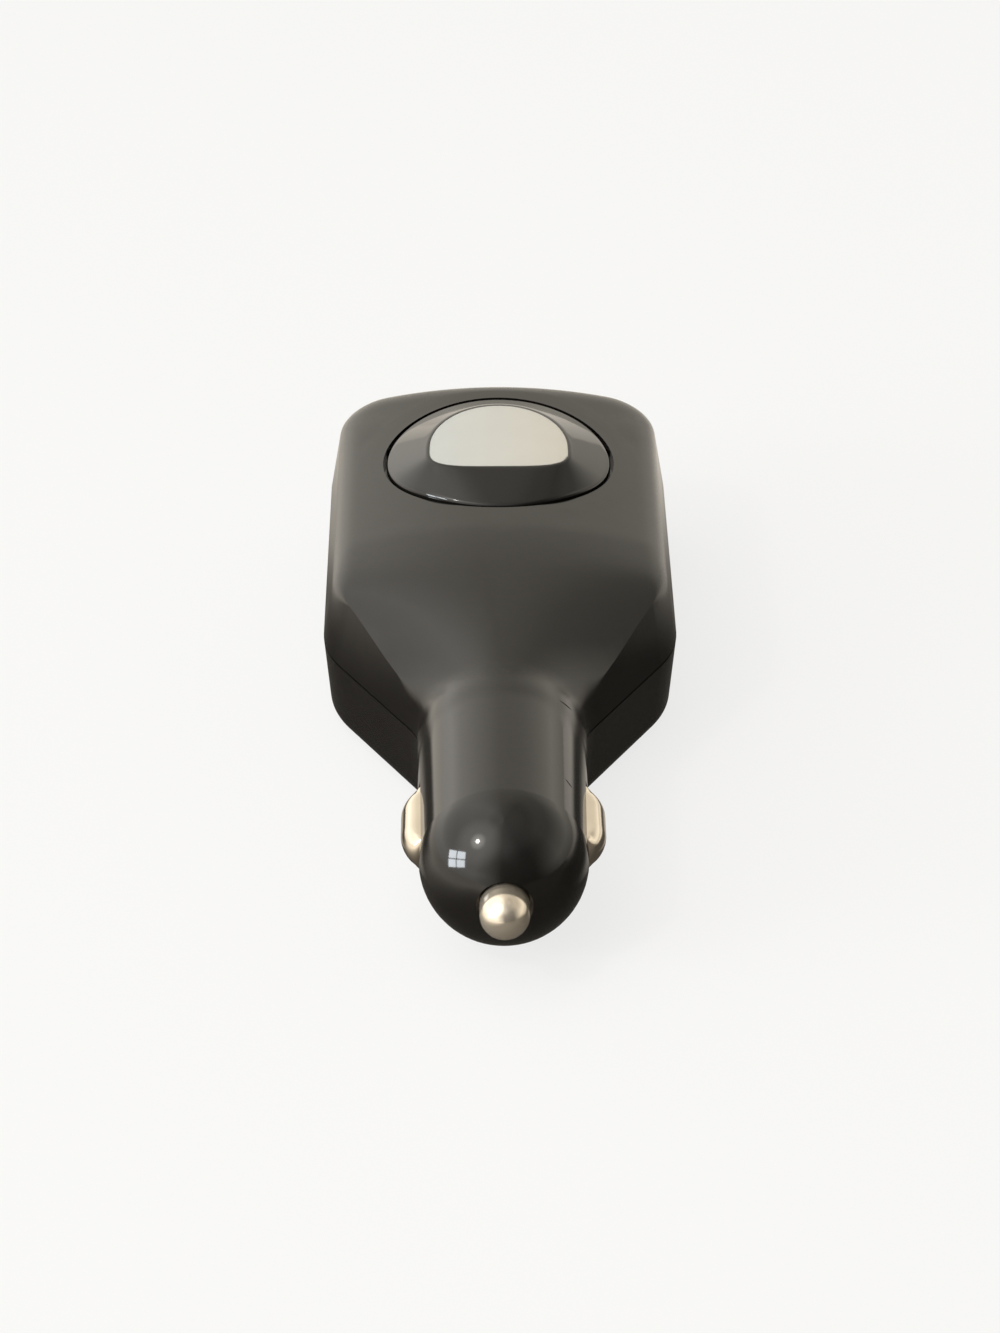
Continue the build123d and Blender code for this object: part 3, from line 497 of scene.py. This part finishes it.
def wing_half(x, out):
    """Half height of a wing, which falls off towards its outer edge."""
    free = portion((x - WING_FALL_START) / (out - WING_FALL_START))
    return WING_HALF_HEIGHT - WING_FALL * free**2


def wing_skin(plan, root, out, outer, points, faces):
    """Adds the outer or the inner skin of a wing: its wall over the plan, and its top and bottom caps."""
    start = len(points)
    count = len(plan)
    ways = inward(plan)
    thick = 0.0 if outer else WING_SHEET
    for level in range(WING_LEVELS):
        turn = math.pi * (level / (WING_LEVELS - 1) - 0.5)
        for spot, way in zip(plan, ways):
            inset = thick
            if outer:
                free = portion((spot.x - WING_EDGE_START) / WING_EDGE_RUN)
                inset = (WING_ROOT_EDGE + (WING_EDGE - WING_ROOT_EDGE) * free) * (1 - math.cos(turn))
            place = spot + way * inset
            x = max(place.x, root)
            points.append((x, place.y, AXIS_HEIGHT + (wing_half(x, out) - thick) * math.sin(turn)))
    for level in range(WING_LEVELS - 1):
        for step in range(count - 1):
            a = start + level * count + step
            quad = (a, a + 1, a + count + 1, a + count)
            faces.append(quad if outer else quad[::-1])
    for level, up in ((0, -1), (WING_LEVELS - 1, 1)):
        strips = []
        for step in range(count):
            rim = start + level * count + step
            x, y, _ = points[rim]
            strip = [rim]
            for column in range(1, CAP_STRIPS + 1):
                inner_x = x + (root - x) * column / CAP_STRIPS
                strip.append(len(points))
                points.append((inner_x, y, AXIS_HEIGHT + up * (wing_half(inner_x, out) - thick)))
            strips.append(strip)
        for near, far in zip(strips, strips[1:]):
            if abs(points[near[0]][1] - points[far[0]][1]) < EMPTY_STRIP:
                continue
            for column in range(CAP_STRIPS):
                quad = (near[column], far[column], far[column + 1], near[column + 1])
                faces.append(quad if (up > 0) == outer else quad[::-1])


def build_wing(side, sign):
    low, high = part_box(f"side_contact_{side}")
    root, out = (low.x, high.x) if sign > 0 else (-high.x, -low.x)
    plan = wing_outline(root, out, low.y + LUG, high.y - LUG)
    points, faces = [], []
    for outer in (True, False):
        wing_skin(plan, root, out, outer, points, faces)
    reach = LUG + WING_SHEET / 2
    for lug_low, lug_high in ((low.y, low.y + reach), (high.y - reach, high.y)):
        start = len(points)
        deep = root + LUG_DEPTH
        for z in (-WING_HALF_HEIGHT, WING_HALF_HEIGHT):
            for x, y in ((root, lug_low), (deep, lug_low), (deep, lug_high), (root, lug_high)):
                points.append((x, y, AXIS_HEIGHT + z))
        for quad in BOX_SIDES:
            faces.append(tuple(start + corner for corner in quad))
    if sign < 0:
        points = [(-x, y, z) for x, y, z in points]
        faces = [face[::-1] for face in faces]
    made = piece(f"contact_wing_{side}", points, faces, "contact_metal", f"{side}_contact")
    tidy_mesh(made.data)
    made.data.set_sharp_from_angle(angle=WING_SHARP)
    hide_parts(f"side_contact_{side}")


# Bezel: ruled hill from the round groove to the D-shaped window, edges softened
BEZEL_RADIUS = 15.25 * MM
WINDOW_HALF = 9.3 * MM
WINDOW_BACK = 12.1 * MM
WINDOW_FRONT = 5.2 * MM
WINDOW_FORWARD = 3.6 * MM
WINDOW_RIM = 0.4 * MM
LENS_GAP = 0.05 * MM
WINDOW_SQUARENESS = 4.0
RECESS_RADIUS = 15.7 * MM
CROWN_RADIUS = 68.0 * MM
BEZEL_RISE = 2.5 * MM
LENS_THICKNESS = 1.4 * MM
PEG_RADIUS = 1.0 * MM
PEG_CIRCLE = 13.2 * MM
PEG_LENGTH = 1.8 * MM
PEG_ROOT = 0.2 * MM
PEG_CHAMFER = 0.2 * MM
PEG_COUNT = 3
PEG_SPOKES = 24
EDGE_SOFT = 0.45 * MM
EDGE_POINTS = 7
CREST_SOFT = 0.3 * MM
CREST_POINTS = 6
RULES = 12
AROUND = 192


def d_point(turn, half, back, front, squareness):
    """Point of a D outline about its own centre; turn 0 is at +X, a quarter turn at the back."""
    c, s = math.cos(turn), math.sin(turn)
    if s >= 0:
        return half * c, back * s
    power = 2 / squareness
    return math.copysign(half * abs(c) ** power, c), -front * (-s) ** power


def window_point(turn, grown, z):
    """Point of the window's outline, grown on all sides, at a height."""
    x, y = d_point(turn, WINDOW_HALF + grown, WINDOW_BACK + grown, WINDOW_FRONT + grown, WINDOW_SQUARENESS)
    return Vector((x, y - WINDOW_FORWARD, z))


def bezel_ring(low, high):
    """Closed sections of the bezel about its centre, one for each step of a turn."""
    top_z = high.z
    sag = RECESS_RADIUS**2 / (2 * CROWN_RADIUS)
    rim_z = top_z - BEZEL_RISE - sag
    share = sag / (sag + BEZEL_RISE)
    near = WINDOW_FORWARD + WINDOW_FRONT + WINDOW_RIM
    far = WINDOW_BACK - WINDOW_FORWARD + WINDOW_RIM
    rim_back = (BEZEL_RADIUS - far * share) / (1 - share)
    rim_front = (BEZEL_RADIUS - near * share) / (1 - share)
    sections = []
    for step in range(AROUND):
        turn = 2 * math.pi * step / AROUND
        foot = Vector((*d_point(turn, BEZEL_RADIUS, rim_back, rim_front, 2), rim_z))
        crest = window_point(turn, WINDOW_RIM, top_z)
        inner = window_point(turn, LENS_GAP, top_z)
        run = crest - foot
        a = run.x**2 + run.y**2
        b = foot.x * run.x + foot.y * run.y
        c = foot.x**2 + foot.y**2 - BEZEL_RADIUS**2
        cut = max((-b - math.sqrt(max(b * b - a * c, 0.0))) / a, 0.0)
        edge = foot + run * cut
        base = Vector((edge.x, edge.y, low.z + PEG_LENGTH))
        sill = Vector((inner.x, inner.y, top_z - LENS_THICKNESS))
        lower = soft_corner(base, edge, crest, EDGE_SOFT, EDGE_POINTS)
        upper = soft_corner(edge, crest, inner, CREST_SOFT, CREST_POINTS)
        ruled = [lower[-1].lerp(upper[0], row / RULES) for row in range(1, RULES)]
        sections.append([base, *lower, *ruled, *upper, inner, sill])
    return sections


def build_bezel():
    low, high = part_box("bezel")
    centre_y = (low.y + high.y) / 2
    sections = bezel_ring(low, high)
    height = len(sections[0])
    points = [(p.x, p.y + centre_y, p.z) for section in sections for p in section]
    faces = []
    for step in range(AROUND):
        here, after = step * height, (step + 1) % AROUND * height
        for row in range(height):
            up = (row + 1) % height
            faces.append((here + row, after + row, after + up, here + up))
    rings = (
        (low.z + PEG_LENGTH + PEG_ROOT, PEG_RADIUS),
        (low.z + PEG_CHAMFER, PEG_RADIUS),
        (low.z, PEG_RADIUS - PEG_CHAMFER),
    )
    for peg in range(PEG_COUNT):
        angle = math.pi / 2 + 2 * math.pi * peg / PEG_COUNT
        px, py = PEG_CIRCLE * math.cos(angle), centre_y + PEG_CIRCLE * math.sin(angle)
        start = len(points)
        for z, radius in rings:
            for spoke in range(PEG_SPOKES):
                turn = 2 * math.pi * spoke / PEG_SPOKES
                points.append((px + radius * math.cos(turn), py + radius * math.sin(turn), z))
        for ring in range(len(rings) - 1):
            here = start + ring * PEG_SPOKES
            for spoke in range(PEG_SPOKES):
                after = (spoke + 1) % PEG_SPOKES
                faces.append((here + after, here + spoke, here + PEG_SPOKES + spoke, here + PEG_SPOKES + after))
        tip = start + (len(rings) - 1) * PEG_SPOKES
        faces.append(tuple(tip + spoke for spoke in reversed(range(PEG_SPOKES))))
    made = piece("bezel_trim", points, faces, "bezel_black")
    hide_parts("bezel")


build_bezel()
build_wing("left", -1)
build_wing("right", 1)


# Floor: pale to the camera, warm and dimmer in reflections, where its glow is painted light and painted shadow by
# place; keeps a soft shadow
FLOOR_HALF = 3.0
FLOOR_DROP = 0.2 * MM
FLOOR_PAPER = (0.86, 0.85, 0.83, 1.0)
FLOOR_SEEN = (0.955, 0.955, 0.95)
FLOOR_SEEN_SHARE = 0.82
# Warm tint of the floor's painted reflection, seen only in gloss
FLOOR_IN_GLOSS = (1.0, 0.925, 0.81)

# Painted reflection of the floor in gloss: a painted brightness level for each place on it (painted shadow near the
# object and beside the head, painted light on the left, behind, on the far right, beside the barrel and in front, a
# painted sheen at grazing angles), and the spans in metres over which it fades
HEAD_Y = 0.010
HEAD_SHADE = 0.030
HEAD_SPAN = (0.012, 0.048)
LEFT_LEVEL = 1.15
LEFT_SPAN = (-0.070, -0.012)
BACK_LEVEL = 0.92
BACK_SPAN = (0.045, 0.125)
BACK_SLANT = 0.045
BACK_SLANT_SPAN = (0.02, 0.06)
RIGHT_LEVEL = 0.75
RIGHT_SPAN = (0.06, 0.25)
RIGHT_DEPTH = (-0.10, 0.06)
BARREL_LEVEL = 0.42
BARREL_BACK = (-0.010, 0.014)
BARREL_FRONT = (-0.046, -0.030)
BARREL_BESIDE = (0.020, 0.034)
BARREL_GRAZING = (0.42, 0.50)
NEAR_LEVEL = 0.08
FAR_LEVEL = 0.17
FAR_SPAN = (0.02, 0.06)
FRONT_LEVEL = 0.09
FRONT_SPAN = (-0.075, -0.05)
# Painted sheen: extra glow of the floor in reflections at grazing angles, behind the object
SHEEN_LEVEL = 0.34
SHEEN_GRAZING = (0.30, 0.55)
SHEEN_DEPTH = (0.02, 0.10)
UNDER_SHEEN = 0.6


def painted_floor_reflection(tree):
    """Painted brightness of the floor in gloss: painted light on the left and behind, painted shadow close to the
    object, a painted sheen when grazed.
    """
    x, y, _ = tree.split(tree.add("ShaderNodeTexCoord").outputs["Object"])
    grazing = tree.add("ShaderNodeLayerWeight", Blend=0.5).outputs["Facing"]
    # Painted shadow of the head: the painted light on the left starts further out beside it
    off_head = tree.math("ABSOLUTE", tree.math("SUBTRACT", y, HEAD_Y))
    shaded_x = tree.math("ADD", x, tree.fade(off_head, HEAD_SHADE, 0.0, HEAD_SPAN))
    left = tree.fade(shaded_x, LEFT_LEVEL, 0.0, LEFT_SPAN)
    slanted_y = tree.math("ADD", y, tree.scale(x, 0.0, BACK_SLANT, *BACK_SLANT_SPAN))
    back = tree.fade(slanted_y, 0.0, BACK_LEVEL, BACK_SPAN)
    right = tree.math("MULTIPLY", tree.fade(x, 0.0, RIGHT_LEVEL, RIGHT_SPAN), tree.fade(y, 0.0, 1.0, RIGHT_DEPTH))
    # Painted light: a lit patch of floor beside the barrel, which the barrel's sides reflect
    barrel = tree.math(
        "MULTIPLY",
        tree.fade(y, BARREL_LEVEL, 0.0, BARREL_BACK),
        tree.fade(y, 0.0, 1.0, BARREL_FRONT),
        tree.fade(tree.math("ABSOLUTE", x), 1.0, 0.0, BARREL_BESIDE),
        tree.fade(grazing, 0.0, 1.0, BARREL_GRAZING),
    )
    level = tree.math("MAXIMUM", left, back, right, barrel)
    # Painted shadow close to the object, lightening further behind, and a faint painted light in front
    level = tree.math(
        "ADD",
        level,
        tree.scale(y, NEAR_LEVEL, FAR_LEVEL, *FAR_SPAN),
        tree.scale(y, FRONT_LEVEL, 0.0, *FRONT_SPAN),
    )
    # Painted sheen: emission added at grazing angles behind the object, not a glossy shader
    sheen = tree.fade(grazing, 0.0, SHEEN_LEVEL, SHEEN_GRAZING)
    sheen = tree.math("MULTIPLY", sheen, tree.fade(y, 0.0, 1.0, SHEEN_DEPTH))
    return tree.math("MAXIMUM", level, tree.math("ADD", tree.math("MULTIPLY", level, UNDER_SHEEN), sheen))


def floor_paper():
    made = bpy.data.materials.new("floor_paper")
    tree = Tree(made)
    out = tree.add("ShaderNodeOutputMaterial")
    path = tree.add("ShaderNodeLightPath").outputs
    seen = tree.math("MAXIMUM", path["Is Camera Ray"], path["Is Transmission Ray"])
    glossy = path["Is Glossy Ray"]
    # In gloss the floor glows with a painted reflection: warm, and as bright as the painted level for each place
    colour = tree.mix(glossy, FLOOR_SEEN, FLOOR_IN_GLOSS)
    above_plain = tree.math("SUBTRACT", painted_floor_reflection(tree), 1.0)
    power = tree.math("ADD", tree.math("MULTIPLY", glossy, above_plain), 1.0)
    glow = tree.add("ShaderNodeEmission", Color=colour, Strength=power)
    paper = tree.add("ShaderNodeBsdfDiffuse", Color=FLOOR_PAPER)
    share = tree.math("MAXIMUM", tree.math("MULTIPLY", seen, FLOOR_SEEN_SHARE), glossy)
    blend = tree.add("ShaderNodeMixShader")
    for index, socket in enumerate((share, paper.outputs["BSDF"], glow.outputs["Emission"])):
        tree.links.new(socket, blend.inputs[index])
    tree.links.new(blend.outputs["Shader"], out.inputs["Surface"])
    return made


def build_floor():
    mesh = bpy.data.meshes.new("floor")
    corners = ((-1, -1), (1, -1), (1, 1), (-1, 1))
    mesh.from_pydata([(x * FLOOR_HALF, y * FLOOR_HALF, 0.0) for x, y in corners], [], [(0, 1, 2, 3)])
    mesh.materials.append(floor_paper())
    floor = bpy.data.objects.new("floor", mesh)
    scene.collection.objects.link(floor)
    floor.location.z = -FLOOR_DROP


build_floor()


# World: tint and brightness by the sine of the elevation, for each side; bright on the left and low behind
WARM = (1.06, 1.0, 0.87)
COOL = (1.03, 1.0, 0.94)
NEUTRAL = (1.04, 1.0, 0.92)
SIDES = {
    "left": (NEUTRAL, (0.0, 1.35), (0.17, 1.75), (0.3, 1.5), (0.5, 1.45), (0.77, 1.65), (0.94, 1.6), (1.0, 1.1)),
    "back": (WARM, (0.0, 0.70), (0.2, 1.30), (0.36, 1.14), (0.56, 0.82), (0.7, 0.74), (0.88, 0.82), (1.0, 0.76)),
    "right": (WARM, (0.0, 0.62), (0.2, 1.15), (0.40, 0.90), (0.60, 0.58), (0.77, 0.58), (0.9, 0.45), (1.0, 0.60)),
    "front": (COOL, (0.0, 0.08), (0.34, 0.15), (0.5, 0.24), (0.64, 0.52), (0.77, 0.76), (1.0, 0.76)),
    "corner": (COOL, (0.0, 0.06), (0.64, 0.15), (0.77, 0.32), (0.9, 0.44), (1.0, 0.60)),
}
TO_BACK = (-0.35, 0.25)
FROM_CORNER = (-0.72, -0.12)
TO_RIGHT = (0.0, 0.5)
TO_LEFT = (-0.65, -0.05)
GLARE_WAY = Vector((-0.59, -0.39, 0.71)).normalized()
GLARE_COLOUR = (1.0, 0.98, 0.93)
GLARE_LEVEL = 0.95
GLARE_SPAN = (0.80, 1.0)
BULB_WAY = Vector((-0.567, -0.363, 0.740)).normalized()
HALO_COLOUR = (2.9, 2.8, 2.6)
HALO_SPAN = (0.978, 1.0)
DIFFUSE_LEVEL = 0.60


def build_world():
    world = bpy.data.worlds.new("studio")
    scene.world = world
    tree = Tree(world)
    out = tree.add("ShaderNodeOutputWorld")
    ray = tree.add("ShaderNodeTexCoord").outputs["Generated"]
    x, y, height = tree.split(ray)
    level = tree.add("ShaderNodeCombineXYZ", X=x, Y=y).outputs["Vector"]
    level = tree.add("ShaderNodeVectorMath", {"operation": "NORMALIZE"}, Vector=level).outputs["Vector"]
    across, along, _ = tree.split(level)
    sides = {}
    for name, (tint, *stops) in SIDES.items():
        sides[name] = tree.ramp(height, *[(place, tuple(power * c for c in tint)) for place, power in stops])
    middle = tree.mix(tree.scale(along, 0.0, 1.0, *TO_BACK), sides["front"], sides["back"])
    right = tree.mix(tree.scale(along, 0.0, 1.0, *FROM_CORNER), sides["corner"], sides["right"])
    sky = tree.mix(tree.scale(across, 0.0, 1.0, *TO_RIGHT), middle, right)
    sky = tree.mix(tree.scale(across, 1.0, 0.0, *TO_LEFT), sky, sides["left"])
    glare = tree.fade(tree.measure("DOT_PRODUCT", ray, GLARE_WAY), 0.0, GLARE_LEVEL, GLARE_SPAN)
    sky = tree.mix(glare, sky, GLARE_COLOUR, "ADD")
    halo = tree.fade(tree.measure("DOT_PRODUCT", ray, BULB_WAY), 0.0, 1.0, HALO_SPAN)
    sky = tree.mix(halo, sky, HALO_COLOUR, "ADD")
    diffuse = tree.add("ShaderNodeLightPath").outputs["Is Diffuse Ray"]
    ground = tree.add("ShaderNodeBackground", Color=sky, Strength=tree.scale(diffuse, 1.0, DIFFUSE_LEVEL))
    tree.links.new(ground.outputs["Background"], out.inputs["Surface"])


build_world()


# Lamps: a window of four panes and a bulb on the left, as the nose shows them, and a soft wash from above
WINDOW_WAY = (-0.921, -0.304, 0.244)
WINDOW_DISTANCE = 0.75
WINDOW_ROLL = math.radians(28)
WINDOW_COLOUR = (0.88, 0.95, 1.0)
PANE = (0.165, 0.112)
PANE_STEP = (0.092, 0.064)
PANE_POWER = 0.85
BULB_DISTANCE = 0.70
BULB_SIZE = (0.055, 0.055)
BULB_COLOUR = (1.0, 0.97, 0.92)
BULB_POWER = 0.55
CEILING_WAY = (-0.10, 0.15, 1.0)
CEILING_DISTANCE = 0.90
CEILING_SIZE = (0.7, 0.7)
CEILING_COLOUR = (1.0, 0.98, 0.95)
CEILING_POWER = 0.9


def area(name, towards, distance, size, power, colour, shape="RECTANGLE", offset=(0.0, 0.0), roll=0.0):
    """Area lamp in a direction from the nose, facing it, upright unless rolled; offset moves it in its plane."""
    lamp = bpy.data.lights.new(name, "AREA")
    lamp.shape = shape
    lamp.size, lamp.size_y = size
    lamp.energy = power
    lamp.color = colour
    holder = bpy.data.objects.new(name, lamp)
    scene.collection.objects.link(holder)
    out_axis = Vector(towards).normalized()
    side_axis = Vector((0, 0, 1)).cross(out_axis).normalized()
    side_axis = Matrix.Rotation(roll, 3, out_axis) @ side_axis
    up_axis = out_axis.cross(side_axis)
    holder.location = DOME + out_axis * distance + side_axis * offset[0] + up_axis * offset[1]
    holder.rotation_euler = Matrix((side_axis, up_axis, out_axis)).transposed().to_euler()
    return holder


for row in (-1, 1):
    for column in (-1, 1):
        area(
            f"window_pane_{row}_{column}",
            WINDOW_WAY,
            WINDOW_DISTANCE,
            PANE,
            PANE_POWER,
            WINDOW_COLOUR,
            offset=(column * PANE_STEP[0], row * PANE_STEP[1]),
            roll=WINDOW_ROLL,
        )
area("bulb", BULB_WAY, BULB_DISTANCE, BULB_SIZE, BULB_POWER, BULB_COLOUR, "DISK")
ceiling = area("ceiling_wash", CEILING_WAY, CEILING_DISTANCE, CEILING_SIZE, CEILING_POWER, CEILING_COLOUR)
ceiling.visible_glossy = False


# Camera: the photograph's view, worked out from the nose dome and the head's outline
FOCAL_PX = 4130.4
LONG_SIDE_PX = 1333.0
SENSOR = 36.0
CLIP_START = 0.01
YAW = math.radians(-0.5)
ELEVATION = math.radians(31.272)
FROM_DOME = Vector((-0.000484, -0.41518, 0.27962))
camera_data = bpy.data.cameras.new("camera")
camera_data.sensor_width = SENSOR
camera_data.lens = FOCAL_PX * SENSOR / LONG_SIDE_PX
camera_data.clip_start = CLIP_START
camera = bpy.data.objects.new("camera", camera_data)
scene.collection.objects.link(camera)
camera.location = DOME + Matrix.Rotation(YAW, 3, "Z") @ FROM_DOME
camera.rotation_euler = (math.pi / 2 - ELEVATION, 0.0, YAW)
scene.camera = camera
